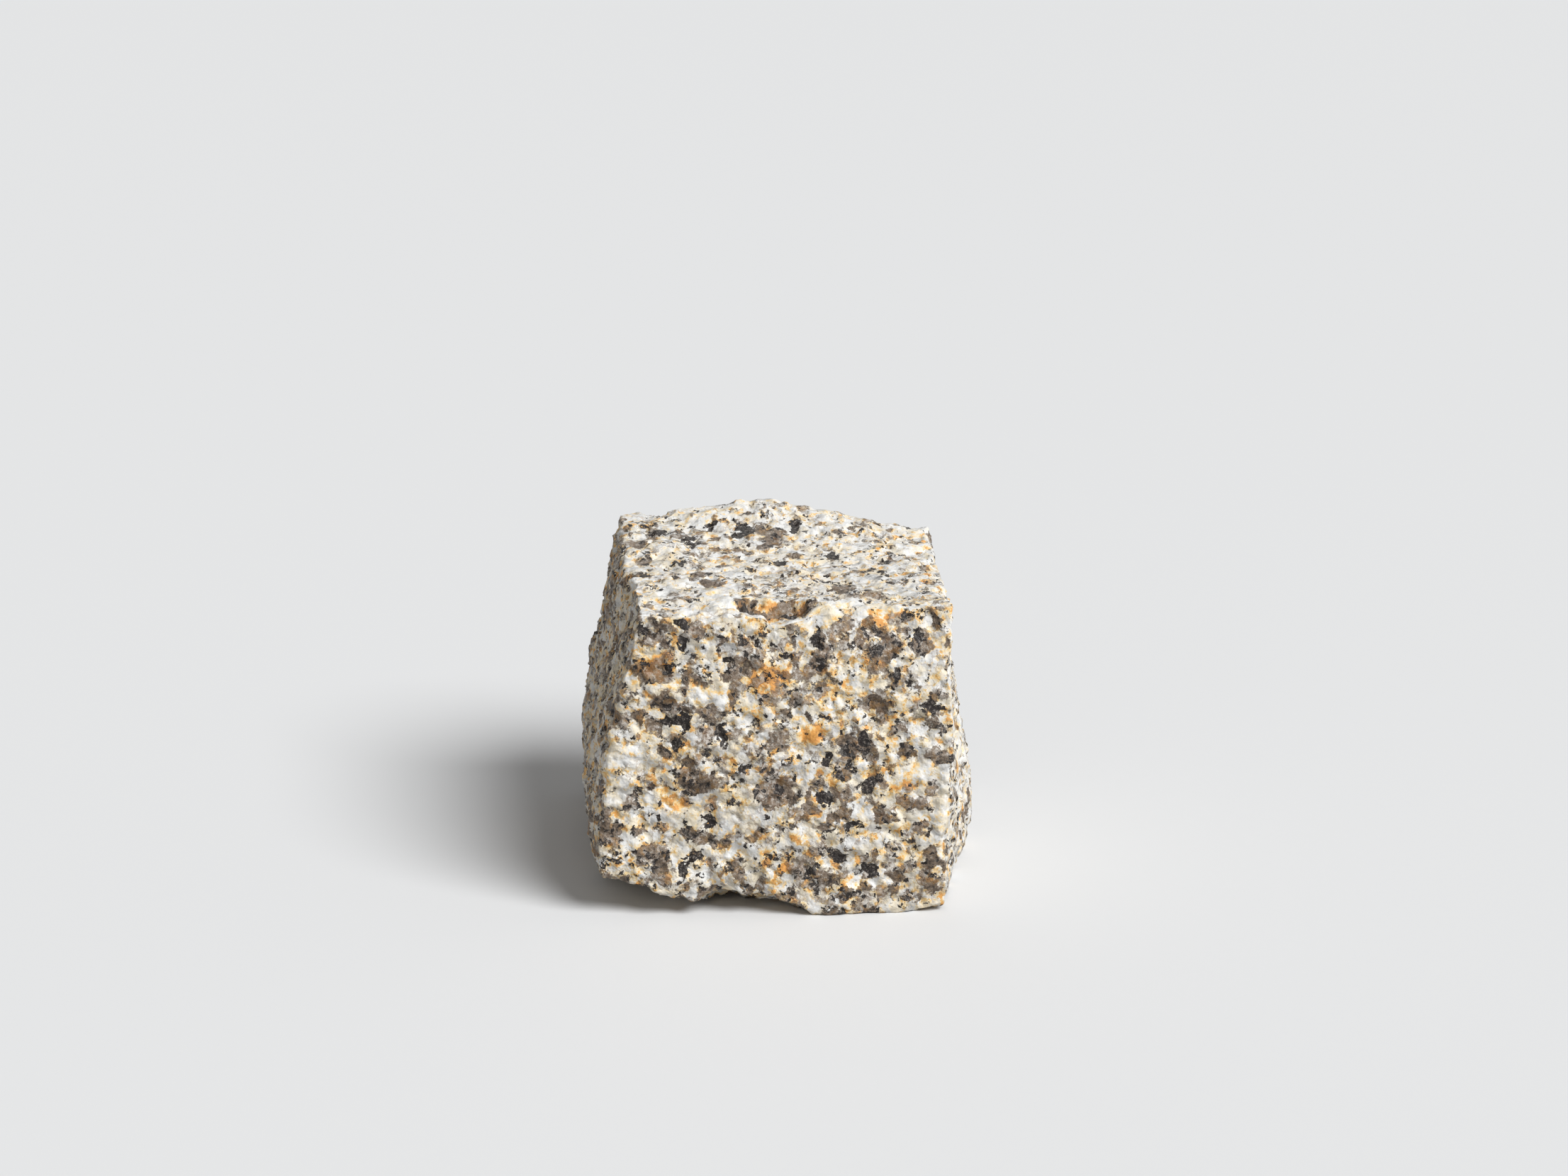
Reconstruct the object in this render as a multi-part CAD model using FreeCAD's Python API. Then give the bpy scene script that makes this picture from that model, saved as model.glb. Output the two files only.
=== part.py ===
"""Granite sett: one hand-split block of paving granite, modelled the way it is made.

A rough block of stock is split six times. Each split leaves a fracture face: a plane that leans
and turns a little, swells or hollows in places, carries a slow ripple and is broken into flat
facets, the hackle of coarse granite. Where two fracture faces meet they leave a sharp arris, and
spalls knocked off the arrises leave faceted hollows. The bed, the face that the sett stands on,
is flat in its middle.

Millimetres and degrees. +Z is up, +X is to the right of the front face and +Y runs to the back.
The origin is the middle of the bounding box, on the level that the sett stands on.
"""
import FreeCAD
import Part
import math
import os
from collections import namedtuple

Vector = FreeCAD.Vector

# Overall sizes: distance between the flats of opposite fracture faces, before swells and hollows
WIDTH = 60.0
DEPTH = 61.0
HEIGHT = 55.5

# Lean: how far the top of an upright face tips outwards. Turn: how far its right or back end does.
FRONT_LEAN = -4.0
FRONT_TURN = -1.5
BACK_LEAN = 1.0
BACK_TURN = -2.5
LEFT_LEAN = -5.7
LEFT_TURN = 3.8
RIGHT_LEAN = -0.8
RIGHT_TURN = -3.1
TOP_RISE_RIGHT = -1.8
TOP_RISE_BACK = -1.2

# Swells and hollows of the fracture faces. Proud: height off the face, less than 0 for a hollow.
# Spread: half width along and across at 0.6 of the height. At: place of the middle, in lengths and
# breadths of the face, so that it keeps its place when the sett grows. Upright faces are measured
# from their middle along and from the bed up, the top and the bed from their middle.
Swell = namedtuple("Swell", "proud at spread")
FRONT_BELLY = Swell(1.6, at=(0.10, 0.36), spread=(20, 16))
FRONT_BREAK = Swell(-4.6, at=(0.32, 1.08), spread=(12, 6.5))
LEFT_BULGE = Swell(5.9, at=(0.07, 0.40), spread=(40, 17))
LEFT_BROW = Swell(1.5, at=(0.31, 0.92), spread=(12, 6))
LEFT_CHEEK = Swell(1.6, at=(-0.52, 0.29), spread=(14, 17))
LEFT_TUCK = Swell(-1.4, at=(-0.07, -0.04), spread=(40, 8))
RIGHT_BULGE = Swell(5.8, at=(0.07, 0.15), spread=(12, 15))
RIGHT_CHEEK = Swell(-1.8, at=(-0.52, 0.29), spread=(10, 20))
RIGHT_TUCK = Swell(-2.0, at=(0.00, -0.07), spread=(40, 7))
BACK_BELLY = Swell(1.8, at=(-0.07, 0.43), spread=(20, 18))
TOP_CREST = Swell(4.6, at=(-0.07, 0.52), spread=(6.2, 7))
TOP_CREST_LEFT = Swell(1.2, at=(-0.25, 0.52), spread=(6.5, 8))
TOP_CREST_RIGHT = Swell(1.8, at=(0.20, 0.51), spread=(6, 7))
TOP_SAG = Swell(-0.7, at=(0.10, 0.07), spread=(16, 12))
TOP_SHOULDER = Swell(1.7, at=(0.32, -0.41), spread=(12, 9))
BED_LIFT_FRONT_LEFT = Swell(-9.7, at=(-0.67, -0.54), spread=(15.3, 13))
BED_LIFT_BACK_LEFT = Swell(-4.0, at=(-0.60, 0.56), spread=(11, 9))
BED_LIFT_BACK_RIGHT = Swell(-5.0, at=(0.60, 0.56), spread=(12, 11))
BED_LIFT_FRONT_RIGHT = Swell(-3.5, at=(0.62, -0.54), spread=(8, 7))

# Ripple of the fracture faces: height, length and the two bearings that its waves run along
RIPPLE_HEIGHT = 0.22
RIPPLE_LENGTH = 32.0
RIPPLE_BEARINGS = (28.0, 107.0)

# Hackle: how far apart the knuckles between the flat facets of a fracture face lie, how far they
# stand proud or shy of the face, and how far they stray sideways as a share of their distance
HACKLE_STEP = 6.0
HACKLE_HEIGHT = 0.50
HACKLE_STRAY = 0.28

# Bed: how far its fracture face dips below the standing level before it is dressed flat
BED_DRESSING = 0.7

# Spalls: the two faces whose arris was struck, the place along the arris as a share of its length,
# how far the middle of the scoop lies from there along X, Y and Z, and the scoop's radius, which
# is uneven by a share of itself
Spall = namedtuple("Spall", "faces at shift radius")
SPALL_UNEVEN = 0.06
SPALLS = {
    "dent": Spall(("top", "front"), at=-0.004, shift=(0, 1.8, 9.0), radius=11.4),
    "notch": Spall(("bed", "front"), at=-0.14, shift=(0, -6, -18), radius=23.5),
    "side chip": Spall(("left", "front"), at=0.68, shift=(-1.4, -2.4, 0), radius=4.4),
    "corner chip": Spall(("left", "front"), at=0.96, shift=(-1.2, -2, 0.3), radius=3.2),
    "crown chip": Spall(("top", "left"), at=-0.10, shift=(-4.4, 0, 3.8), radius=6.8),
    "heel chip": Spall(("bed", "back"), at=0.13, shift=(0, 5, -7), radius=11),
    "back right chip": Spall(("right", "back"), at=0.59, shift=(4.8, 4.8, 0), radius=9),
    "back left chip": Spall(("left", "back"), at=0.34, shift=(-6, 5, 0), radius=10),
}

# Stock: what the block has to spare on every side before it is split, and how far a split runs on
STOCK_SPARE = 8.5
SHEET_MARGIN = 10.0
BOOLEAN_SLACK = 0.0001

Split = namedtuple("Split", "normal stand turn lean swells rough phase")
SPLITS = {
    "front": Split((0, -1, 0), DEPTH / 2, FRONT_TURN, FRONT_LEAN,
                   (FRONT_BELLY, FRONT_BREAK), 1, 0.0),
    "back": Split((0, 1, 0), DEPTH / 2, BACK_TURN, BACK_LEAN,
                  (BACK_BELLY,), 1, 0.9),
    "left": Split((-1, 0, 0), WIDTH / 2, LEFT_TURN, LEFT_LEAN,
                  (LEFT_BULGE, LEFT_BROW, LEFT_CHEEK, LEFT_TUCK), 1, 2.1),
    "right": Split((1, 0, 0), WIDTH / 2, RIGHT_TURN, RIGHT_LEAN,
                   (RIGHT_BULGE, RIGHT_CHEEK, RIGHT_TUCK), 1, 3.3),
    "top": Split((0, 0, 1), HEIGHT, TOP_RISE_RIGHT, TOP_RISE_BACK,
                 (TOP_CREST, TOP_CREST_LEFT, TOP_CREST_RIGHT, TOP_SAG, TOP_SHOULDER), 1, 4.2),
    "bed": Split((0, 0, -1), BED_DRESSING, 0.0, 0.0,
                 (BED_LIFT_FRONT_LEFT, BED_LIFT_BACK_LEFT, BED_LIFT_BACK_RIGHT,
                  BED_LIFT_FRONT_RIGHT), 0, 0.0),
}


def stand_at(split, along, across):
    """How far a fracture face stands from the origin along its normal, at a place on the face."""
    x, y, z = split.normal
    length = DEPTH if x else WIDTH
    breadth = DEPTH if z else HEIGHT
    middle = 0.0 if z else HEIGHT / 2
    stand = split.stand
    stand += along * math.tan(math.radians(split.turn))
    stand += (across - middle) * math.tan(math.radians(split.lean))
    for swell in split.swells:
        far_along = (along - swell.at[0] * length) / swell.spread[0]
        far_across = (across - swell.at[1] * breadth) / swell.spread[1]
        stand += swell.proud * math.exp(-(far_along ** 2 + far_across ** 2) / 2)
    for bearing in RIPPLE_BEARINGS:
        run = along * math.cos(math.radians(bearing)) + across * math.sin(math.radians(bearing))
        wave = math.sin(2 * math.pi * run / RIPPLE_LENGTH + split.phase * bearing)
        stand += split.rough * RIPPLE_HEIGHT * wave
    return stand


def place_on(split, along, across, stand):
    """The point over a place on a face that stands this far from the origin along its normal."""
    x, y, z = split.normal
    if x:
        return Vector(x * stand, along, across)
    if y:
        return Vector(along, y * stand, across)
    return Vector(along, across, z * stand)


def slide_onto(split, point):
    """A point moved along the normal of a fracture face until it lies on that face."""
    x, y, z = split.normal
    along = point.y if x else point.x
    across = point.y if z else point.z
    return place_on(split, along, across, stand_at(split, along, across))


def scatter(row, place, seed):
    """A number between -1 and 1 that looks random but is the same in every build."""
    return 2 * (math.sin(12.9898 * row + 78.233 * place + 37.719 * seed) * 43758.5453 % 1) - 1


def flat(*ring):
    """A flat face inside a ring of points."""
    return Part.Face(Part.makePolygon(ring + ring[:1]))


def facets(rows):
    """Two flat triangles for every four neighbours in rows of points, cut by either diagonal."""
    faces = []
    for i in range(len(rows) - 1):
        for j in range(len(rows[i]) - 1):
            a, b, c, d = rows[i][j], rows[i + 1][j], rows[i + 1][j + 1], rows[i][j + 1]
            if (i + j) % 2:
                faces += [flat(a, b, c), flat(a, c, d)]
            else:
                faces += [flat(a, b, d), flat(b, c, d)]
    return faces


def waste_beyond(split):
    """The waste that a split takes off: all that lies outside its sheet of flat facets."""
    x, y, z = split.normal
    length = (DEPTH if x else WIDTH) + 2 * SHEET_MARGIN
    breadth = (DEPTH if z else HEIGHT) + 2 * SHEET_MARGIN
    foot = -breadth / 2 if z else -SHEET_MARGIN
    steps = round(length / HACKLE_STEP)
    courses = round(breadth / HACKLE_STEP)
    sheet = []
    for i in range(steps + 1):
        row = []
        for j in range(courses + 1):
            stray = HACKLE_STRAY * HACKLE_STEP if 0 < i < steps and 0 < j < courses else 0.0
            along = length * (i / steps - 0.5) + stray * scatter(i, j, split.phase + 1)
            across = foot + breadth * j / courses + stray * scatter(i, j, split.phase + 2)
            proud = split.rough * HACKLE_HEIGHT * scatter(i, j, split.phase)
            row.append(place_on(split, along, across, stand_at(split, along, across) + proud))
        sheet.append(row)
    ends = (-length / 2, length / 2, length / 2, -length / 2)
    sides = (foot, foot, foot + breadth, foot + breadth)
    clear = split.stand + 4 * STOCK_SPARE
    a, b, c, d = [place_on(split, end, side, clear) for end, side in zip(ends, sides)]
    walls = [
        flat(*sheet[0], d, a),
        flat(*sheet[-1], c, b),
        flat(*[row[0] for row in sheet], b, a),
        flat(*[row[-1] for row in sheet], c, d),
    ]
    return Part.Solid(Part.Shell(facets(sheet) + walls + [flat(a, b, c, d)]))


def stock_block():
    """The rough block before it is split, with its foot on the level that the sett stands on."""
    corner = Vector(-WIDTH / 2 - STOCK_SPARE, -DEPTH / 2 - STOCK_SPARE, 0)
    return Part.makeBox(WIDTH + 2 * STOCK_SPARE, DEPTH + 2 * STOCK_SPARE, HEIGHT + STOCK_SPARE, corner)


def scoop_of(spall):
    """The hollow that a spall leaves: a faceted ball about a point off the arris that was struck."""
    one, other = [SPLITS[face] for face in spall.faces]
    struck = Vector(spall.at * WIDTH, spall.at * DEPTH, spall.at * HEIGHT)
    for turn in range(8):
        struck = slide_onto(other, slide_onto(one, struck))
    middle = struck + Vector(*spall.shift)
    inward = Vector(*spall.shift).normalize() * -1
    arris = Vector(*one.normal).cross(Vector(*other.normal))
    aside = arris.cross(inward)
    rings = max(6, round(1.5 * math.pi * spall.radius / HACKLE_STEP))
    rows = []
    for i in range(1, rings):
        polar = math.pi * i / rings
        uneven = SPALL_UNEVEN if 1 < i < rings - 1 else 0.0
        row = []
        for j in range(2 * rings):
            bearing = math.pi * (j + i / 2) / rings
            spoke = inward * math.cos(bearing) + aside * math.sin(bearing)
            reach = spall.radius * (1 + uneven * scatter(i, j, spall.at))
            row.append(middle + (arris * math.cos(polar) + spoke * math.sin(polar)) * reach)
        rows.append(row + row[:1])
    return Part.Solid(Part.Shell(facets(rows) + [flat(*rows[0][1:]), flat(*rows[-1][1:])]))


def granite_sett():
    """The block split on all six sides, spalled on its arrises and centred over the origin."""
    waste = [waste_beyond(split) for split in SPLITS.values()]
    scoops = [scoop_of(spall) for spall in SPALLS.values()]
    block = stock_block().cut(waste, BOOLEAN_SLACK).cut(scoops, BOOLEAN_SLACK)
    box = block.BoundBox
    block.translate(Vector(-(box.XMin + box.XMax) / 2, -(box.YMin + box.YMax) / 2, 0))
    return block.Solids[0]


os.makedirs("parts", exist_ok=True)
granite_sett().exportStep("parts/granite_sett.step")
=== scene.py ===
"""The granite sett's looks: split stone relief, granite of four minerals, and a plain studio."""
import math

import bpy
import numpy as np
from mathutils import Matrix, Vector


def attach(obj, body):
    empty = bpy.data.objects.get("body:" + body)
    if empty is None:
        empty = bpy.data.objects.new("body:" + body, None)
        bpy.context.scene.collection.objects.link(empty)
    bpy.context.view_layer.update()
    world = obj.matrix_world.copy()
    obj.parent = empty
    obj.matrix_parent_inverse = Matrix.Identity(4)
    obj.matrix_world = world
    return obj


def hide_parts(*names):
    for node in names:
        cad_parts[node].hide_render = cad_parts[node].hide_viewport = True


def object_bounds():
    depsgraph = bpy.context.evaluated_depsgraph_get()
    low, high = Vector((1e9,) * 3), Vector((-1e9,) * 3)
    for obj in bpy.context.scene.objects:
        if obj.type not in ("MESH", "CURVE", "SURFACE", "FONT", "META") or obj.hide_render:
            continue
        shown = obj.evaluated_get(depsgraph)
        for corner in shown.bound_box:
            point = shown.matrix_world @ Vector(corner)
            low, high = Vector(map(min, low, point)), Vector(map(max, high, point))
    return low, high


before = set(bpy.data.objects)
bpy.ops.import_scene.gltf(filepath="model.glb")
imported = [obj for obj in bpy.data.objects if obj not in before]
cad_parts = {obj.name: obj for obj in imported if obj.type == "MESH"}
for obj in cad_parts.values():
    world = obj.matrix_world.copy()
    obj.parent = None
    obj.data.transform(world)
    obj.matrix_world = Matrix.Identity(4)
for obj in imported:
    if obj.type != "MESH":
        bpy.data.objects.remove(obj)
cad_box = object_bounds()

MM = 0.001
STONE = "granite_sett"

# Camera of the view: millimetres in the stone's frame, degrees, and metres for the far clip
CAMERA_EYE = (1.9, -993.7, 387.3)
CAMERA_PITCH = 18.66
CAMERA_ROLL = 0.41
CAMERA_LENS = 130.6
CAMERA_SENSOR = 36.0
CAMERA_FAR_CLIP = 20.0

# Studio: the lamp's strength, its width in degrees and the way that it shines, the surround, and the
# floor with its half width in metres, its colour as seen and its colour for the light it throws back
LAMP_STRENGTH = 3.2
LAMP_WIDTH = 32.0
LAMP_WAY = (-0.54, 0.46, -0.76)
SURROUND_STRENGTH = 0.24
SURROUND_COLOUR = (1.0, 0.99, 0.975, 1)
FLOOR_HALF = 4.0
FLOOR_SEEN = (0.82, 0.83, 0.84, 1)
FLOOR_BOUNCE = (0.5, 0.5, 0.5, 1)
FLOOR_ROUGHNESS = 0.7

# Skin of the stone: steps along each side of its six patches, decimals of a metre to which two places
# are the same, and the margin round each patch on the sheet that the patches are laid out on
GRID = 127
SAME_PLACE = 7
SHEET_MARGIN = 0.01

# Reading an arris off the solid, millimetres: the stretch that gives one place, how near a neighbour
# lies, how much further in than its neighbours a place may lie, and how often the curve is eased
ARRIS_STRETCH = 1.2
ARRIS_NEAR = 6.0
ARRIS_DIP = 4.0
ARRIS_EASING = 8

# Dropping a patch onto the solid, millimetres: how far outside the box it starts, how far it may move
# at an arris, and how much more for each millimetre away from the arris
DROP_START = 10.0
DROP_SLACK = 0.8
DROP_SLOPE = 0.7

# Relief of the split stone: heights, depths and sizes in millimetres, and the seed of each noise
WAVE_HEIGHT, WAVE_SIZE, WAVE_SEED = 0.18, 8.0, 11
WARP_FAR, WARP_SIZE, WARP_SEED = 0.9, 2.2, 20
FACET_HEIGHT, FACET_SIZE, FACET_SEED = 0.62, 2.5, 31
FACET_TILT = 1.1
SPLINTER_HEIGHT, SPLINTER_SIZE, SPLINTER_SEED = 0.26, 1.3, 41
GRIT_HEIGHT, GRIT_SIZE, GRIT_SEED = 0.22, 1.4, 51
PIT_DEPTH, PIT_SIZE, PIT_SEED = 0.8, 4.0, 61
PIT_LEVEL = 0.25
CHIP_DEPTH, CHIP_SIZE, CHIP_SEED = 1.8, 4.0, 71
CHIP_REACH = 1.4
CHIP_GAP_SIZE, CHIP_GAP_SEED = 8.0, 81

# Wear of the arrises and easing of folds: reach in millimetres, share of the way and number of passes,
# the least lean of a face that isn't folded, and the least that a mitred normal is divided by
WEAR_REACH, WEAR_SHARE, WEAR_PASSES = 0.6, 0.7, 2
FOLD_LEAN, FOLD_SHARE, FOLD_PASSES = 0.3, 0.8, 20
MITRE_LEAST = 0.6

# The six sides of a box go by number: left 0, front 1, bed 2, right 3, back 4 and top 5, so that a
# side looks along axis number % 3, towards less for 0 to 2 and towards more for 3 to 5
FRONT = 1
TOP = 5

# Ovals on a face, in millimetres: across, up (or back, on the top), half length, half width, and
# degrees turned from level. An oval's reach is 1 on its rim.

# The hollow in the front edge of the top: its oval, its depth, how ragged its rim is, and the reach
# at which its wall starts and how much of the reach the wall takes up
HOLLOW_OVAL = (-0.6, -24.4, 6.8, 4.8, -10)
HOLLOW_DEPTH = 1.8
HOLLOW_RAGGED, HOLLOW_RAGGED_SIZE, HOLLOW_SEED = 0.45, 4.0, 93
HOLLOW_RIM, HOLLOW_WALL = 1.1, 0.24

# Crystals and stains that stand out: how far mica, quartz, iron and feldspar stand proud, how ragged
# they are, and the reach at which they start and how much of the reach their border takes up
CRYSTAL_STAND = (-0.25, -0.1, 0.0, 0.2)
CRYSTAL_RAGGED, CRYSTAL_RAGGED_SIZE, CRYSTAL_SEED = 1.3, 1.6, 101
CRYSTAL_RIM, CRYSTAL_BORDER = 1.3, 0.7
FRONT_MICA = (
    (-16.5, 55, 1.5, 0.9, -35), (-16, 51, 1.3, 1.1, 0), (-19, 47, 0.9, 0.9, 0),
    (-19.5, 40, 1.8, 0.9, -15), (-8, 48, 0.9, 0.9, 0), (2, 49, 0.9, 0.8, 0),
    (7.5, 51, 0.8, 1.8, 10), (8.5, 46.5, 1, 1.1, 0), (-17, 37, 1.9, 1.4, -10),
    (-9.5, 34, 0.7, 2.1, 5), (-5.5, 28.5, 1.5, 0.9, 25), (9.5, 29.5, 1.2, 1.2, 0),
    (16, 33.5, 1.4, 1.2, 0), (13, 31, 1.5, 0.8, -25), (17, 24, 1.6, 1.5, 10),
    (9, 22, 1.7, 1, -25), (-18, 32.5, 1.5, 1.2, 15), (-12, 18, 1.3, 1.3, 0),
    (11.5, 11, 1.7, 1.1, -10), (6.5, 9, 1.5, 0.8, 0), (17, 9, 1.4, 0.9, 15),
    (-16.5, 9.5, 1.1, 2, -10), (22, 44.5, 0.8, 1.7, -15), (28, 38.5, 1.4, 0.7, -20),
    (25.5, 52, 0.8, 1.4, 0), (14, 17.5, 1.2, 0.8, 0), (-24, 53.5, 1.2, 1.5, 0))
FRONT_QUARTZ = (
    (-21.5, 52.5, 2.4, 1.9, 0), (-21.5, 46, 3.6, 2.2, 0), (-19.5, 40.5, 2.8, 1.7, -15),
    (-7.5, 44, 1.4, 3.4, 10), (8, 49, 1.3, 4.2, 0), (3.5, 40.5, 2, 1.4, 0),
    (13, 31.5, 2.8, 1.8, -20), (1.5, 23.5, 3.8, 2.7, 0), (-14.5, 25.5, 3.6, 2, -10),
    (-30, 16, 2.6, 2.2, 0), (-21.5, 11.5, 2.8, 2.2, -20), (18, 39.5, 2.9, 2.1, 0),
    (20, 49.5, 2.4, 1.9, 0), (27, 50, 2.2, 1.9, 0))
FRONT_IRON = (
    (-22, 47, 4.2, 2.8, 0), (-1, 44.5, 3.6, 2.8, 0), (7, 35, 2.9, 2.2, 0),
    (23, 24.5, 2.4, 0.9, -5), (16.5, 26.5, 1.3, 1, 0), (7, 20.5, 1, 1.4, 0),
    (-18.5, 22, 2.8, 1.3, -20), (4.5, 15, 2.1, 1, -5), (-1.5, 11, 1.5, 1.2, 0),
    (2, 9, 1.7, 1.3, 0), (18, 47, 1.9, 1.6, 0), (19, 54.5, 1.6, 1.5, 0),
    (23.5, 56, 2.2, 1.2, 0))
FRONT_FELDSPAR = (
    (-11.5, 42, 3.8, 1.8, 22), (25, 27, 3, 2, 0), (-27.5, 30.5, 3, 2.2, 0),
    (-6, 18, 2.7, 2.4, 0), (4.5, 15.5, 2.7, 1.5, -5), (14.5, 20, 1, 1.4, 0),
    (29.5, 47, 1.4, 5, 0), (30.5, 19.5, 1.2, 8, 0), (-11, 57, 5, 1.3, -8))
TOP_MICA = (
    (-5.5, 21, 1.9, 2.6, 0), (4, 23, 1.2, 1.8, 0), (-15.5, 15, 1.9, 2.4, 0),
    (-21.5, 19.5, 1.3, 1.6, 0), (-12, 22.5, 1.2, 1.8, 0), (1, 7.5, 1.2, 1.5, 0),
    (10.5, 10, 1.1, 1.5, 0), (21, 6.5, 1.1, 1.4, 0), (-17.5, 3, 1.2, 1.8, 0),
    # The last two lie in the wall of the hollow: painted shadow there
    (-4.4, -21.6, 1.6, 0.9, 0), (3, -22.2, 1.8, 0.9, 0))
TOP_QUARTZ = (
    (-25, 12, 1.8, 2.6, 0), (-1, 16, 1.8, 2.3, 0), (-13, -4.5, 1.8, 3, 0),
    (13.5, -12, 2.9, 3.4, 0), (-11, -11, 1.8, 3.4, 0), (-24, 4, 1.5, 2.8, 0),
    # The last three lie in the wall of the hollow, brown there: partly iron stain, partly painted shade
    (-4.5, -20.4, 2.2, 1.6, 0), (2.2, -21.2, 2.4, 1.6, 0), (6.3, -21.8, 1.8, 1.4, 0))
TOP_IRON = ((-5, -20.6, 1.8, 1.8, 0), (-0.9, -21.2, 1.8, 2.4, 0), (4.6, -21.2, 2.4, 1.8, 0))
TOP_FELDSPAR = (
    (-11.5, -25.5, 5, 2, 0), (-2.5, -26, 3, 1.4, 0), (4, -26.5, 3, 1.4, 0), (10, -25.5, 3, 2, 0))

# Sizes in the granite, millimetres: grains of quartz and feldspar, flecks and specks of mica, and the
# clouds of noise that bend, blend and shade them
GRAIN_SIZE, FLECK_SIZE, SPECK_SIZE = 2.2, 1.6, 0.75
BEND_SIZE, BEND_FAR = 1.4, 2.4
CLOUD_SIZE, SAND_SIZE, ZONE_SIZE = 1.7, 0.8, 12.0
RUST_SIZE, CRACKED_SIZE = 1.8, 5.0
CREAM_SIZE, STREAK_SIZE = 3.0, 1.3
# The second size here is that of the painted glints in the mica
SMOKE_SIZE, PAINTED_GLINT_SIZE = 0.9, 0.55
BROAD_SIZE, FINE_SIZE = 1.8, 0.6
BUMP_HEIGHT = 0.5

# Steps aside that keep one scatter from repeating another
FLECK_ASIDE = (31.0, 7.0, 13.0)
SPECK_ASIDE = (3.0, 17.0, 29.0)
RUST_ASIDE = (5.0, 41.0, 9.0)

# Levels at which each mineral or tone starts and at which it is full
QUARTZ_LEVELS = (0.49, 0.69)
NEAR_QUARTZ_LEVELS = (0.40, 0.70)
SPECKED_LEVELS = (0.34, 0.60)
BORDER_OUTER_LEVELS = (0.30, 0.48)
BORDER_INNER_LEVELS = (0.78, 0.56)
FLECK_LEVELS = (0.87, 0.93)
SPECK_LEVELS = (0.965, 0.985)
STAIN_LEVELS = (0.52, 0.90)
DEEP_STAIN_LEVELS = (0.72, 1.05)
CRACKED_LEVELS = (0.48, 0.62)
CRACK_LEVELS = (0.07, 0.015)
CREAM_LEVELS = (0.40, 0.62)
STREAK_LEVELS = (0.48, 0.74)
SMOKE_MID_LEVELS = (0.12, 0.62)
SMOKE_PALE_LEVELS = (0.55, 0.92)
# Painted glints in the mica start and are full at these levels
PAINTED_GLINT_LEVELS = (0.50, 0.72)
# Painted shade in the low places of the bump starts and is full at these levels
CREVICE_SHADE_LEVELS = (0.46, 0.28)
# Painted light and shade: how far a face looks up or to the right, towards the lamp, and to the left,
# away from it
LIT_SIDE_LEVELS = (0.5, 0.95)
SHADE_SIDE_LEVELS = (-0.5, -0.95)


def triangles_of(node):
    """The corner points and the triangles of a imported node, as arrays."""
    mesh = node.data
    points = np.empty(3 * len(mesh.vertices), np.float32)
    mesh.vertices.foreach_get("co", points)
    mesh.calc_loop_triangles()
    corners = np.empty(3 * len(mesh.loop_triangles), np.int32)
    mesh.loop_triangles.foreach_get("vertices", corners)
    return points.reshape(-1, 3).astype(float), corners.reshape(-1, 3)


def faces_touched(node):
    """For each place on the node, which of the six faces meet there.

    A triangle belongs to the face that its normal points at most nearly, so a place whose
    triangles belong to two faces lies on an arris, and one with three is a corner.
    """
    points, corners = triangles_of(node)
    a, b, c = points[corners].transpose(1, 0, 2)
    normal = np.cross(b - a, c - a)
    facing = np.argmax(np.hstack((-normal, normal)), axis=1)
    places, index = np.unique(np.round(points, SAME_PLACE), axis=0, return_inverse=True)
    touched = np.zeros((len(places), 6), bool)
    touched[index.ravel()[corners].ravel(), np.repeat(facing, 3)] = True
    return places, touched


def reach_of(points, sides):
    """How far out each point lies, summed over the ways that the sides look."""
    return sum(points[:, side % 3] * (1 if side > 2 else -1) for side in sides)


def corner_point(places, touched, sides):
    """The corner between three faces: the outermost of the places that all three touch."""
    found = places[touched[:, sides].all(axis=1)]
    return found[np.argmax(reach_of(found, sides))]


def arris_curve(places, touched, sides, along, start, end):
    """The arris between two faces, from corner to corner: the outermost of its places in each short
    stretch along one axis, read at even steps of that axis and eased so that no step is ragged.
    Places that lie much further in than their neighbours are left out: they are inside a spall."""
    found = places[touched[:, sides].all(axis=1)]
    reach = reach_of(found, sides)
    near = np.abs(found[:, along, None] - found[:, along]) < MM * ARRIS_NEAR
    outer = reach > np.where(near, reach, -np.inf).max(axis=1) - MM * ARRIS_DIP
    found, reach = found[outer], reach[outer]
    stretch = np.round(found[:, along] / (MM * ARRIS_STRETCH))
    order = np.lexsort((reach, stretch))
    found = found[order[np.append(np.diff(stretch[order]) > 0, True)]]
    run = np.linspace(start[along], end[along], GRID + 1)
    curve = np.stack([np.interp(run, found[:, along], found[:, axis]) for axis in range(3)], axis=1)
    curve[0], curve[-1] = start, end
    for turn in range(ARRIS_EASING):
        curve[1:-1] = (curve[:-2] + 2 * curve[1:-1] + curve[2:]) / 4
    return curve


def dropped(points, node, axis, upwards):
    """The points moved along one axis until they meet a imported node."""
    mesh = bpy.data.meshes.new("drop")
    mesh.from_pydata(points.reshape(-1, 3).tolist(), [], [])
    probe = bpy.data.objects.new("drop", mesh)
    bpy.context.collection.objects.link(probe)
    wrap = probe.modifiers.new("drop", "SHRINKWRAP")
    wrap.wrap_method = "PROJECT"
    wrap.use_project_x, wrap.use_project_y, wrap.use_project_z = axis == 0, axis == 1, axis == 2
    wrap.use_positive_direction, wrap.use_negative_direction = upwards, not upwards
    wrap.target = node
    shaped = probe.evaluated_get(bpy.context.evaluated_depsgraph_get()).data
    found = np.empty(points.size, np.float32)
    shaped.vertices.foreach_get("co", found)
    bpy.data.objects.remove(probe)
    bpy.data.meshes.remove(mesh)
    return found.reshape(points.shape).astype(float)


def border_distance(patch):
    """Each grid point's distance from the nearest of the four border points in its row and column."""
    edges = (patch[:1], patch[-1:], patch[:, :1], patch[:, -1:])
    return np.min([np.linalg.norm(patch - edge, axis=-1) for edge in edges], axis=0)


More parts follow.
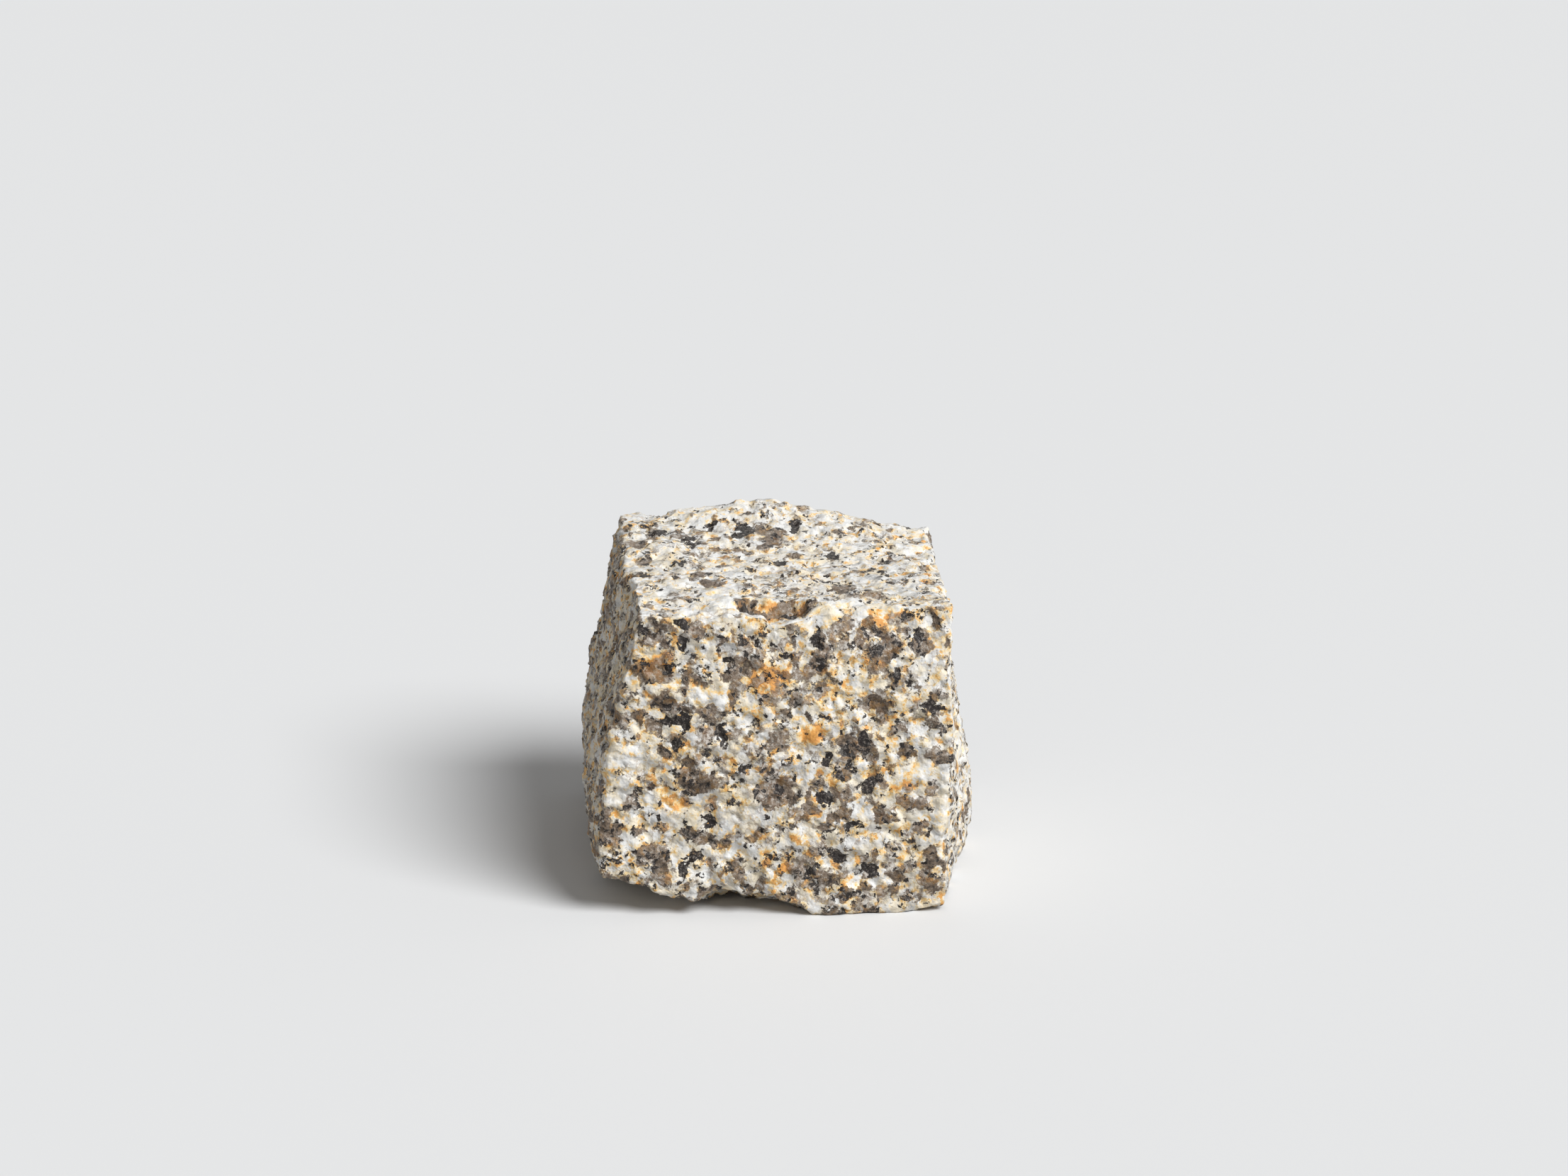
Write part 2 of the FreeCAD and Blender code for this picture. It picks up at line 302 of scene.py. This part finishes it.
def face_patch(node, places, touched, side):
    """One face as a grid of s and t, each from 0 to 1.

    The point is first the Coons patch of the four arrises: the blend of the two arrises along s,
    plus the blend of the two along t, less the blend of the four corners. Inside its border it then
    drops from outside, along the axis that the face looks along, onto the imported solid.
    """
    axis = side % 3
    u, v = (axis + 1) % 3, (axis + 2) % 3
    low, high = (u, u + 3), (v, v + 3)
    corner = {(i, j): corner_point(places, touched, [side, low[i], high[j]])
              for i in (0, 1) for j in (0, 1)}
    s = np.linspace(0, 1, GRID + 1)[:, None, None]
    t = np.linspace(0, 1, GRID + 1)[None, :, None]
    near = arris_curve(places, touched, [side, high[0]], u, corner[0, 0], corner[1, 0])[:, None]
    far = arris_curve(places, touched, [side, high[1]], u, corner[0, 1], corner[1, 1])[:, None]
    first = arris_curve(places, touched, [side, low[0]], v, corner[0, 0], corner[0, 1])[None]
    last = arris_curve(places, touched, [side, low[1]], v, corner[1, 0], corner[1, 1])[None]
    flat = ((1 - s) * (1 - t) * corner[0, 0] + s * (1 - t) * corner[1, 0]
            + (1 - s) * t * corner[0, 1] + s * t * corner[1, 1])
    patch = (1 - t) * near + t * far + (1 - s) * first + s * last - flat
    clear = MM * DROP_START
    outside = patch.copy()
    outside[..., axis] = cad_box[0][axis] - clear if side < 3 else cad_box[1][axis] + clear
    fallen = dropped(outside, node, axis, side < 3)
    slack = MM * DROP_SLACK + DROP_SLOPE * border_distance(patch)
    step = np.clip((fallen - patch)[..., axis], -slack, slack)
    patch[..., axis] += np.where(np.abs(fallen - outside)[..., axis] > MM, step, 0)
    patch[:, :1], patch[:, -1:], patch[:1], patch[-1:] = near, far, first, last
    return patch


def sheet_places():
    """Where each point of the six patches lies on a sheet of three by two squares, one for each."""
    step = np.linspace(SHEET_MARGIN, 1 - SHEET_MARGIN, GRID + 1)
    s, t = np.meshgrid(step, step, indexing="ij")
    squares = [np.stack([(s + side % 3) / 3, (t + side // 3) / 2], axis=-1) for side in range(6)]
    return np.stack(squares).reshape(-1, 2)


def stone_grid(node):
    """Six face patches joined along their arrises.

    Gives the points, the four-cornered faces wound outwards, the place of each face corner on a
    sheet of three by two squares, each point's distance from the nearest arris, and its face.
    """
    places, touched = faces_touched(node)
    patches = np.stack([face_patch(node, places, touched, side) for side in range(6)])
    to_arris = np.stack([border_distance(patch) for patch in patches]).reshape(-1)
    side_of = np.repeat(np.arange(6), (GRID + 1) ** 2)
    count = np.arange(len(side_of)).reshape(patches.shape[:3])
    ring = [count[:, :-1, :-1], count[:, 1:, :-1], count[:, 1:, 1:], count[:, :-1, 1:]]
    quads = np.stack(ring, axis=-1)
    quads[:3] = quads[:3, ..., ::-1]
    quads = quads.reshape(-1, 4)
    points = patches.reshape(-1, 3)
    rounded = np.round(points, SAME_PLACE)
    _, first, index = np.unique(rounded, axis=0, return_index=True, return_inverse=True)
    joined = index.ravel()[quads]
    return points[first], joined, sheet_places()[quads.ravel()], to_arris[first], side_of[first]


def lattice_number(cells, seed):
    """A number from 0 to 1 for each whole-number cell: its three counts mixed bit by bit."""
    x, y, z = (cells[..., axis].astype(np.uint32) for axis in range(3))
    mixed = x * np.uint32(0x8DA6B343) ^ y * np.uint32(0xD8163841) ^ z * np.uint32(0xCB1AB31F)
    mixed ^= np.uint32(seed * 0x9E3779B1 & 0xFFFFFFFF)
    for shift, factor in ((15, 0x2C1B3C6D), (12, 0x297A2D39)):
        mixed = (mixed ^ mixed >> np.uint32(shift)) * np.uint32(factor)
    return (mixed ^ mixed >> np.uint32(15)) / 2.0 ** 32


def soft_noise(points, size, seed):
    """Smooth noise from -1 to 1: numbers on a lattice, blended between its corners by an eased step."""
    place = points / size
    cell = np.floor(place).astype(np.int64)
    blend = place - cell
    blend = blend ** 3 * (blend * (blend * 6 - 15) + 10)
    total = np.zeros(len(points))
    for corner in np.ndindex(2, 2, 2):
        share = np.where(corner, blend, 1 - blend).prod(axis=1)
        total += share * lattice_number(cell + corner, seed)
    return 2 * total - 1


def rough_noise(points, size, seed, layers=3):
    """Soft noise in layers, each half the size and half the height of the one before."""
    heights = 0.5 ** np.arange(layers)
    total = sum(h * soft_noise(points, size * h, seed + n) for n, h in enumerate(heights))
    return total / heights.sum()


def strayed(points, far, size, seed):
    """The points moved by rough noise, each axis by its own, as far as a distance either way."""
    stray = [rough_noise(points, size, seed + axis, 2) for axis in range(3)]
    return points + far * np.stack(stray, axis=1)


def broken_grains(points, size, seed):
    """Facets of broken grains, about -1 to 1: each point has the level of the nearest of a scatter
    of seeds, plus that seed's own tilt times the way from the seed to the point."""
    place = points / size
    home = np.floor(place).astype(np.int64)
    nearest = np.full(len(points), np.inf)
    facet = np.zeros(len(points))
    for step in np.ndindex(3, 3, 3):
        cell = home + np.array(step) - 1
        draw = np.stack([lattice_number(cell, seed + n) for n in range(7)], axis=1)
        away = place - cell - draw[:, :3]
        distance = (away ** 2).sum(axis=1)
        level = draw[:, 6] - 0.5 + FACET_TILT * (away * (draw[:, 3:6] - 0.5)).sum(axis=1)
        facet = np.where(distance < nearest, level, facet)
        nearest = np.minimum(nearest, distance)
    return facet


def crossed_diagonals(points, quads):
    """The cross product of each face's diagonals, which points outwards."""
    a, b, c, d = points[quads].transpose(1, 0, 2)
    return np.cross(c - a, d - b)


def outward(points, quads):
    """Mitred normals at the points: the sum of the crossed diagonals of the faces round each, made
    long enough that a step along it moves each of those faces by about one whole step."""
    crossed = crossed_diagonals(points, quads)
    crossed = np.repeat(crossed / np.linalg.norm(crossed, axis=1, keepdims=True), 4, axis=0)
    here = quads.ravel()
    total = np.stack([np.bincount(here, crossed[:, axis]) for axis in range(3)], axis=1)
    total /= np.linalg.norm(total, axis=1, keepdims=True)
    square = np.bincount(here, (crossed * total[here]).sum(axis=1)) / np.bincount(here)
    return total / np.clip(square, MITRE_LEAST, 1)[:, None]


def eased(points, quads, share):
    """The points moved by their share of the way to the mean of their neighbours."""
    here = np.concatenate([quads, quads]).ravel()
    there = np.concatenate([np.roll(quads, 1, axis=1), np.roll(quads, -1, axis=1)]).ravel()
    count = np.bincount(here)
    mean = np.stack([np.bincount(here, points[there, axis]) / count for axis in range(3)], axis=1)
    return points + share[:, None] * (mean - points)


def unfolded(points, quads):
    """The points with the folds out: in each pass, the corners of the faces that lean too near
    upright, or past it, from the way that their side of the stone looks are moved most of the way to
    the mean of their neighbours."""
    side = np.repeat(np.arange(6), len(quads) // 6)
    way = np.where(side > 2, 1.0, -1.0)[:, None] * np.eye(3)[side % 3]
    for turn in range(FOLD_PASSES):
        crossed = crossed_diagonals(points, quads)
        folded = (crossed * way).sum(axis=1) < FOLD_LEAN * np.linalg.norm(crossed, axis=1)
        share = np.zeros(len(points))
        share[quads[folded]] = FOLD_SHARE
        points = eased(points, quads, share)
    return points


def oval_reach(points, axes, oval):
    """How far out each point lies in a turned oval: 0 in its middle and 1 on its rim."""
    u, v, length, width, turn = oval
    c, s = math.cos(math.radians(turn)), math.sin(math.radians(turn))
    du, dv = points[:, axes[0]] - u, points[:, axes[1]] - v
    return np.hypot((c * du + s * dv) / length, (c * dv - s * du) / width)


def crystal_mask(points, on_face, axes, crystals):
    """How far each point lies in one of the crystals: 1 well inside an oval, 0 a little outside it."""
    mask = np.zeros(len(points))
    for oval in crystals:
        inside = (CRYSTAL_RIM - oval_reach(points, axes, oval)) / CRYSTAL_BORDER
        mask = np.maximum(mask, np.clip(inside, 0, 1))
    return mask * on_face


def crystal_map(points, side_of):
    """The mica, quartz, iron and feldspar masks of the crystals that stand out, one column each."""
    points = strayed(points, CRYSTAL_RAGGED, CRYSTAL_RAGGED_SIZE, CRYSTAL_SEED)
    on_front = (FRONT_MICA, FRONT_QUARTZ, FRONT_IRON, FRONT_FELDSPAR)
    on_top = (TOP_MICA, TOP_QUARTZ, TOP_IRON, TOP_FELDSPAR)
    masks = []
    for front_crystals, top_crystals in zip(on_front, on_top):
        front = crystal_mask(points, side_of == FRONT, (0, 2), front_crystals)
        top = crystal_mask(points, side_of == TOP, (0, 1), top_crystals)
        masks.append(np.maximum(front, top))
    return np.stack(masks, axis=1)


def hollow_wall(points, side_of):
    """The broken step at the back of the hollow in the front edge of the top: a drop of its depth
    inside a ragged oval, fading out towards the front arris."""
    middle, width = HOLLOW_OVAL[1], HOLLOW_OVAL[3]
    ragged = 1 + HOLLOW_RAGGED * rough_noise(points, HOLLOW_RAGGED_SIZE, HOLLOW_SEED)
    reach = oval_reach(points, (0, 1), HOLLOW_OVAL) * ragged
    inside = np.clip((HOLLOW_RIM - reach) / HOLLOW_WALL, 0, 1)
    fade = np.clip((points[:, 1] - middle) / width + 0.5, 0, 1)
    return HOLLOW_DEPTH * inside * fade * (side_of == TOP)


def split_relief(points, to_arris):
    """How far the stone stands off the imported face, in millimetres.

    Slow waves, plus broken grains, plus grit, plus the splinters of smaller broken grains, less pits
    where a slow noise is high, less the chips along the arris, which die away with distance from it.
    """
    waves = WAVE_HEIGHT * rough_noise(points, WAVE_SIZE, WAVE_SEED)
    warped = strayed(points, WARP_FAR, WARP_SIZE, WARP_SEED)
    facets = FACET_HEIGHT * broken_grains(warped, FACET_SIZE, FACET_SEED)
    grit = GRIT_HEIGHT * rough_noise(points, GRIT_SIZE, GRIT_SEED, 2)
    grit += SPLINTER_HEIGHT * broken_grains(points, SPLINTER_SIZE, SPLINTER_SEED)
    pits = np.clip(rough_noise(points, PIT_SIZE, PIT_SEED) - PIT_LEVEL, 0, None)
    pits = PIT_DEPTH * pits / (1 - PIT_LEVEL)
    chips = broken_grains(warped, CHIP_SIZE, CHIP_SEED)
    chips = CHIP_DEPTH * np.clip(chips + rough_noise(points, CHIP_GAP_SIZE, CHIP_GAP_SEED), 0, 1)
    return waves + facets + grit - pits - chips * np.exp(-to_arris / CHIP_REACH)


def split_stone(node):
    """The stone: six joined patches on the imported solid, broken into relief and worn at the arrises."""
    points, quads, sheet, to_arris, side_of = stone_grid(node)
    crystals = crystal_map(points / MM, side_of)
    relief = split_relief(points / MM, to_arris / MM) - hollow_wall(points / MM, side_of)
    relief += crystals @ CRYSTAL_STAND
    worn = WEAR_SHARE * np.exp(-(to_arris / MM / WEAR_REACH) ** 2)
    points = points + MM * relief[:, None] * outward(points, quads)
    for turn in range(WEAR_PASSES):
        points = eased(points, quads, worn)
    points = np.clip(unfolded(points, quads), cad_box[0], cad_box[1])
    mesh = bpy.data.meshes.new("split_granite")
    mesh.from_pydata(points.tolist(), [], quads.tolist())
    mesh.polygons.foreach_set("use_smooth", np.ones(len(quads), bool))
    mesh.uv_layers.new(name="OFBake").data.foreach_set("uv", sheet.astype(np.float32).ravel())
    paint = mesh.attributes.new("crystals", "FLOAT_COLOR", "POINT")
    paint.data.foreach_set("color", crystals.astype(np.float32).ravel())
    mesh.update()
    piece = bpy.data.objects.new("split_granite", mesh)
    bpy.context.collection.objects.link(piece)
    return piece


def put(tree, kind, inputs, **settings):
    """A node with its settings, each input either joined to another node's output or given a value."""
    made = tree.nodes.new(kind)
    for name, value in settings.items():
        setattr(made, name, value)
    for name, value in inputs.items():
        if isinstance(value, bpy.types.NodeSocket):
            tree.links.new(value, made.inputs[name])
        else:
            made.inputs[name].default_value = value
    return made


def number(tree, operation, *values):
    """One sum on numbers."""
    return put(tree, "ShaderNodeMath", dict(enumerate(values)), operation=operation).outputs[0]


def summed(tree, start, *parts):
    """A number plus shares of others. Each part is a number and its share."""
    for value, share in parts:
        start = number(tree, "MULTIPLY_ADD", value, share, start)
    return start


def vector(tree, operation, *values, out=0):
    """One sum on vectors."""
    return put(tree, "ShaderNodeVectorMath", dict(enumerate(values)), operation=operation).outputs[out]


def scaled(tree, place, factor):
    """A vector times a number."""
    return put(tree, "ShaderNodeVectorMath", {0: place, "Scale": factor}, operation="SCALE").outputs[0]


def centred(tree, colour):
    """A random colour as a vector that points any way."""
    return vector(tree, "SUBTRACT", colour, (0.5, 0.5, 0.5))


def noise(tree, place, size, detail=2.0, roughness=0.5):
    """Cloudy noise of a size in millimetres."""
    return put(tree, "ShaderNodeTexNoise", {"Vector": place, "Scale": 1 / size, "Detail": detail,
                                            "Roughness": roughness}).outputs


def spread(tree, value):
    """Cloudy noise opened out so that it fills 0 to 1 about evenly."""
    return number(tree, "MULTIPLY_ADD", value, 2.3, -0.65)


def cells(tree, place, size, feature="F1", **more):
    """Scattered cells of a size in millimetres, each with a random colour, and any more inputs."""
    inputs = {"Vector": place, "Scale": 1 / size, **more}
    return put(tree, "ShaderNodeTexVoronoi", inputs, feature=feature).outputs


def three(tree, colour):
    """A colour's three numbers."""
    return put(tree, "ShaderNodeSeparateXYZ", {0: colour}).outputs


def edge(tree, value, low, high):
    """A soft step from 0 at low to 1 at high."""
    return put(tree, "ShaderNodeMapRange", {"Value": value, "From Min": low, "From Max": high},
               interpolation_type="SMOOTHSTEP").outputs[0]


def mix(tree, share, first, second):
    """Two colours blended by a share."""
    return put(tree, "ShaderNodeMix", {0: share, 6: first, 7: second}, data_type="RGBA").outputs[2]


def srgb(*values):
    """A colour written as it looks, 0 to 255, as the light it gives."""
    part = np.array(values) / 255
    return (*np.where(part < 0.04045, part / 12.92, ((part + 0.055) / 1.055) ** 2.4), 1.0)


# Colours of the minerals
FELDSPAR_WHITE = srgb(238, 238, 236)
FELDSPAR_CREAM = srgb(240, 229, 206)
FELDSPAR_GREY = srgb(218, 215, 210)
QUARTZ_DARK = srgb(55, 46, 40)
QUARTZ_MID = srgb(135, 119, 103)
QUARTZ_PALE = srgb(205, 199, 191)
MICA_BLACK = srgb(40, 34, 32)
# Paler grey of the mica: painted glints
MICA_PAINTED_GLINT = srgb(149, 140, 131)
IRON_PALE = srgb(250, 214, 136)
IRON_DEEP = srgb(234, 160, 58)
IRON_BROWN = srgb(126, 84, 42)


def new_group(name, inputs, outputs):
    """An empty shader group with named inputs and outputs."""
    tree = bpy.data.node_groups.new(name, "ShaderNodeTree")
    for title, kind in inputs.items():
        tree.interface.new_socket(title, in_out="INPUT", socket_type=kind)
    for title, kind in outputs.items():
        tree.interface.new_socket(title, in_out="OUTPUT", socket_type=kind)
    return tree, tree.nodes.new("NodeGroupInput").outputs, tree.nodes.new("NodeGroupOutput").inputs


def mineral_group():
    """Which mineral is where.

    A random number for each grain is blended with cloudy noise, and the places above a level are
    quartz; a smaller scatter, raised in and beside the quartz, gives the mica; iron stain lies
    where another noise is high, and more at the borders of the quartz. The crystals that stand out
    push these levels up or down, and a face turned towards the lamp is painted with less quartz and
    less stain, one turned away from it with more: painted light and shade. The facet is how far each
    broken grain leans away from the face.
    """
    tree, given, out = new_group("minerals", {
        "Place": "NodeSocketVector", "Crystals": "NodeSocketVector", "Feldspar": "NodeSocketFloat",
        "Lamp Facing": "NodeSocketFloat"}, {
        "Grain": "NodeSocketColor", "Quartz": "NodeSocketFloat", "Mica": "NodeSocketFloat",
        "Iron": "NodeSocketFloat", "Crack": "NodeSocketFloat", "Bent": "NodeSocketVector",
        "Facet": "NodeSocketVector"})
    place, pale, lamp_facing = given["Place"], given["Feldspar"], given["Lamp Facing"]
    more_mica, more_quartz, more_iron = three(tree, given["Crystals"])
    bend = centred(tree, noise(tree, place, BEND_SIZE, detail=4.0, roughness=0.65)["Color"])
    bent = vector(tree, "ADD", place, scaled(tree, bend, BEND_FAR))
    grain = cells(tree, bent, GRAIN_SIZE)["Color"]
    fleck = cells(tree, vector(tree, "ADD", bent, FLECK_ASIDE), FLECK_SIZE)["Color"]
    speck = cells(tree, vector(tree, "ADD", bent, SPECK_ASIDE), SPECK_SIZE)["Color"]

    blurred = cells(tree, bent, GRAIN_SIZE, "SMOOTH_F1", Smoothness=0.3)["Color"]
    cloud = spread(tree, noise(tree, bent, CLOUD_SIZE, detail=4.0, roughness=0.65)["Fac"])
    sand = spread(tree, noise(tree, place, SAND_SIZE, detail=3.0, roughness=0.65)["Fac"])
    zone = number(tree, "ADD", noise(tree, place, ZONE_SIZE, detail=1.0)["Fac"], -0.5)
    level = summed(tree, number(tree, "MULTIPLY", cloud, 0.42), (three(tree, blurred)[0], 0.60),
                   (zone, 0.25), (more_quartz, 0.45), (pale, -0.6), (lamp_facing, -0.13),
                   (number(tree, "ADD", sand, -0.5), 0.16))
    quartz = edge(tree, level, *QUARTZ_LEVELS)

    dark = summed(tree, number(tree, "MULTIPLY", sand, 0.22), (three(tree, fleck)[0], 0.78),
                  (edge(tree, level, *NEAR_QUARTZ_LEVELS), 0.10), (more_mica, 0.75), (pale, -0.5))
    dot = summed(tree, three(tree, speck)[0], (edge(tree, level, *SPECKED_LEVELS), 0.06), (pale, -0.3))
    mica = number(tree, "MAXIMUM", edge(tree, dark, *FLECK_LEVELS), edge(tree, dot, *SPECK_LEVELS))

    rust = noise(tree, vector(tree, "ADD", bent, RUST_ASIDE), RUST_SIZE, detail=4.0, roughness=0.6)["Fac"]
    border = number(tree, "MULTIPLY", edge(tree, level, *BORDER_OUTER_LEVELS),
                    edge(tree, level, *BORDER_INNER_LEVELS))
    iron = summed(tree, spread(tree, rust), (border, 0.18), (more_iron, 0.36), (lamp_facing, -0.07))

    # Thin brown lines along the grain borders: iron stain in the cracks, partly painted shade in them
    rim = cells(tree, bent, GRAIN_SIZE, "DISTANCE_TO_EDGE")["Distance"]
    cracked = edge(tree, noise(tree, place, CRACKED_SIZE)["Fac"], *CRACKED_LEVELS)
    crack = number(tree, "MULTIPLY", edge(tree, rim, *CRACK_LEVELS), cracked)

    facet = vector(tree, "ADD", scaled(tree, centred(tree, grain), 0.42),
                   scaled(tree, centred(tree, fleck), 0.26))
    for name, socket in (("Grain", grain), ("Quartz", quartz), ("Mica", mica), ("Iron", iron),
                         ("Crack", crack), ("Bent", bent), ("Facet", facet)):
        tree.links.new(socket, out[name])
    return tree


def feldspar_colour(tree, place, bent, grain, painted_lit_side):
    """White and cream in clouds, with grey streaks that run across each grain in its own way."""
    across = vector(tree, "NORMALIZE", centred(tree, grain))
    run = vector(tree, "DOT_PRODUCT", place, across, out="Value")
    sheets = vector(tree, "ADD", scaled(tree, place, 0.5),
                    scaled(tree, across, number(tree, "MULTIPLY", run, 1.2)))
    streak = noise(tree, sheets, STREAK_SIZE, detail=3.0, roughness=0.6)["Fac"]
    # Painted light: faces towards the lamp get less cream
    cream = summed(tree, noise(tree, bent, CREAM_SIZE, detail=3.0, roughness=0.6)["Fac"], (painted_lit_side, -0.05))
    colour = mix(tree, edge(tree, cream, *CREAM_LEVELS), FELDSPAR_WHITE, FELDSPAR_CREAM)
    grey = number(tree, "MULTIPLY", edge(tree, streak, *STREAK_LEVELS), 0.7)
    return mix(tree, grey, colour, FELDSPAR_GREY)


def quartz_colour(tree, place, grain):
    """Smoky quartz: dark to pale by a speckled noise and by a random number for each grain."""
    smoke = spread(tree, noise(tree, place, SMOKE_SIZE, detail=5.0, roughness=0.75)["Fac"])
    tone = summed(tree, number(tree, "MULTIPLY", smoke, 0.75), (three(tree, grain)[2], 0.35))
    colour = mix(tree, edge(tree, tone, *SMOKE_MID_LEVELS), QUARTZ_DARK, QUARTZ_MID)
    return mix(tree, edge(tree, tone, *SMOKE_PALE_LEVELS), colour, QUARTZ_PALE)


def mica_colour(tree, place):
    """Black mica with paler grey patches: painted glints."""
    painted_glint = noise(tree, place, PAINTED_GLINT_SIZE, detail=3.0, roughness=0.75)["Fac"]
    return mix(tree, edge(tree, painted_glint, *PAINTED_GLINT_LEVELS), MICA_BLACK, MICA_PAINTED_GLINT)


def iron_colour(tree, iron, quartz):
    """Iron stain: yellow to orange as it thickens, and brown on quartz."""
    colour = mix(tree, edge(tree, iron, *DEEP_STAIN_LEVELS), IRON_PALE, IRON_DEEP)
    return mix(tree, number(tree, "MULTIPLY", quartz, 0.8), colour, IRON_BROWN)


def granite():
    """Granite: pale feldspar, smoky quartz, black mica and iron stain, each with its own gloss.

    What looks up or to the right, towards the lamp, is painted paler, with more white and less cream,
    quartz and stain: painted light. What looks to the left, away from the lamp, is painted darker, with
    more quartz and stain and more painted shade in the low places of the bump: painted shade.
    """
    material = bpy.data.materials.new("granite")
    material.use_nodes = True
    tree = material.node_tree
    shader = tree.nodes["Principled BSDF"]
    shader.inputs["Specular IOR Level"].default_value = 0.35
    place = scaled(tree, put(tree, "ShaderNodeTexCoord", {}).outputs["Object"], 1 / MM)
    shape = put(tree, "ShaderNodeNewGeometry", {}).outputs
    facing = three(tree, shape["True Normal"])
    # Painted light and shade: faces that look up or to the right, towards the lamp, are painted paler,
    # and those that look left, away from it, darker
    painted_lit_side = number(tree, "MAXIMUM", edge(tree, facing[2], *LIT_SIDE_LEVELS),
                    edge(tree, facing[0], *LIT_SIDE_LEVELS))
    painted_shade_side = edge(tree, facing[0], *SHADE_SIDE_LEVELS)
    paint = put(tree, "ShaderNodeAttribute", {}, attribute_name="crystals").outputs
    # The painted light and shade also take dark minerals off the faces towards the lamp and add them to
    # the faces away from it
    minerals = put(tree, "ShaderNodeGroup", {
        "Place": place, "Crystals": paint["Color"], "Feldspar": paint["Alpha"],
        "Lamp Facing": summed(tree, painted_lit_side, (painted_shade_side, -0.6))}, node_tree=mineral_group()).outputs
    grain, bent = minerals["Grain"], minerals["Bent"]
    quartz, mica, iron = minerals["Quartz"], minerals["Mica"], minerals["Iron"]

    feldspar = feldspar_colour(tree, place, bent, grain, painted_lit_side)
    colour = mix(tree, quartz, feldspar, quartz_colour(tree, place, grain))
    stain = number(tree, "MULTIPLY", edge(tree, iron, *STAIN_LEVELS), 0.9)
    stain = number(tree, "MULTIPLY", stain, summed(tree, 1.0, (quartz, -0.35)))
    colour = mix(tree, stain, colour, iron_colour(tree, iron, quartz))
    # Cracks: iron-brown lines, partly stain and partly painted shade
    colour = mix(tree, number(tree, "MULTIPLY", minerals["Crack"], 0.4), colour, IRON_BROWN)
    colour = mix(tree, mica, colour, mica_colour(tree, place))
    # Painted light: faces towards the lamp are paled towards white feldspar
    colour = mix(tree, number(tree, "MULTIPLY", painted_lit_side, 0.06), colour, FELDSPAR_WHITE)

    broad = noise(tree, place, BROAD_SIZE)["Fac"]
    fine = noise(tree, place, FINE_SIZE, detail=3.0, roughness=0.7)["Fac"]
    # Painted shade: the low places of the bump, where broad and fine noise are low, are darkened towards
    # dark quartz, more so on faces away from the lamp
    crevice_shade_mask = edge(tree, summed(tree, number(tree, "MULTIPLY", broad, 0.3), (fine, 0.7)), *CREVICE_SHADE_LEVELS)
    painted_crevice_shade = number(tree, "MULTIPLY", crevice_shade_mask, summed(tree, 0.42, (painted_shade_side, 0.56)))
    tree.links.new(mix(tree, painted_crevice_shade, colour, QUARTZ_DARK), shader.inputs["Base Color"])

    roughness = summed(tree, 0.6, (quartz, -0.2), (mica, -0.12))
    tree.links.new(roughness, shader.inputs["Roughness"])

    lean = vector(tree, "NORMALIZE", vector(tree, "ADD", shape["Normal"], minerals["Facet"]))
    coarse = summed(tree, 0.16, (number(tree, "MAXIMUM", quartz, mica), 0.5))
    bump = put(tree, "ShaderNodeBump", {
        "Height": summed(tree, broad, (fine, coarse)), "Strength": 1.0, "Distance": BUMP_HEIGHT * MM,
        "Normal": lean})
    tree.links.new(bump.outputs[0], shader.inputs["Normal"])
    return material


def floor_material():
    """Pale floor: the camera sees it pale, and the light it throws back on the stone is softer."""
    material = bpy.data.materials.new("pale floor")
    material.use_nodes = True
    tree = material.node_tree
    shader = tree.nodes["Principled BSDF"]
    shader.inputs["Roughness"].default_value = FLOOR_ROUGHNESS
    rays = put(tree, "ShaderNodeLightPath", {}).outputs
    seen = number(tree, "MAXIMUM", rays["Is Camera Ray"], rays["Is Glossy Ray"])
    seen = number(tree, "MAXIMUM", seen, rays["Is Transmission Ray"])
    tree.links.new(mix(tree, seen, FLOOR_BOUNCE, FLOOR_SEEN), shader.inputs["Base Color"])
    return material


def studio():
    """Pale floor, one large soft lamp from the upper right, an even white surround and the camera."""
    half = FLOOR_HALF
    corners = [(-half, -half, 0), (half, -half, 0), (half, half, 0), (-half, half, 0)]
    mesh = bpy.data.meshes.new("floor")
    mesh.from_pydata(corners, [], [(0, 1, 2, 3)])
    mesh.materials.append(floor_material())
    floor = bpy.data.objects.new("floor", mesh)
    bpy.context.collection.objects.link(floor)

    lamp = bpy.data.lights.new("key", "SUN")
    lamp.angle = math.radians(LAMP_WIDTH)
    lamp.energy = LAMP_STRENGTH
    key = bpy.data.objects.new("key", lamp)
    key.rotation_euler = Vector(LAMP_WAY).to_track_quat("-Z", "Y").to_euler()
    bpy.context.collection.objects.link(key)

    world = bpy.data.worlds.new("surround")
    bpy.context.scene.world = world
    world.use_nodes = True
    world.node_tree.nodes["Background"].inputs["Color"].default_value = SURROUND_COLOUR
    world.node_tree.nodes["Background"].inputs["Strength"].default_value = SURROUND_STRENGTH

    view = bpy.data.cameras.new("view")
    view.lens = CAMERA_LENS
    view.sensor_width = CAMERA_SENSOR
    view.clip_end = CAMERA_FAR_CLIP
    camera = bpy.data.objects.new("view", view)
    camera.matrix_world = (Matrix.Translation(MM * Vector(CAMERA_EYE))
                           @ Matrix.Rotation(math.radians(90 - CAMERA_PITCH), 4, "X")
                           @ Matrix.Rotation(math.radians(-CAMERA_ROLL), 4, "Z"))
    bpy.context.collection.objects.link(camera)
    bpy.context.scene.camera = camera
    bpy.context.scene.view_settings.view_transform = "Standard"


stone = split_stone(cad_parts[STONE])
stone.data.materials.append(granite())
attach(stone, "root")
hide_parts(STONE)
studio()
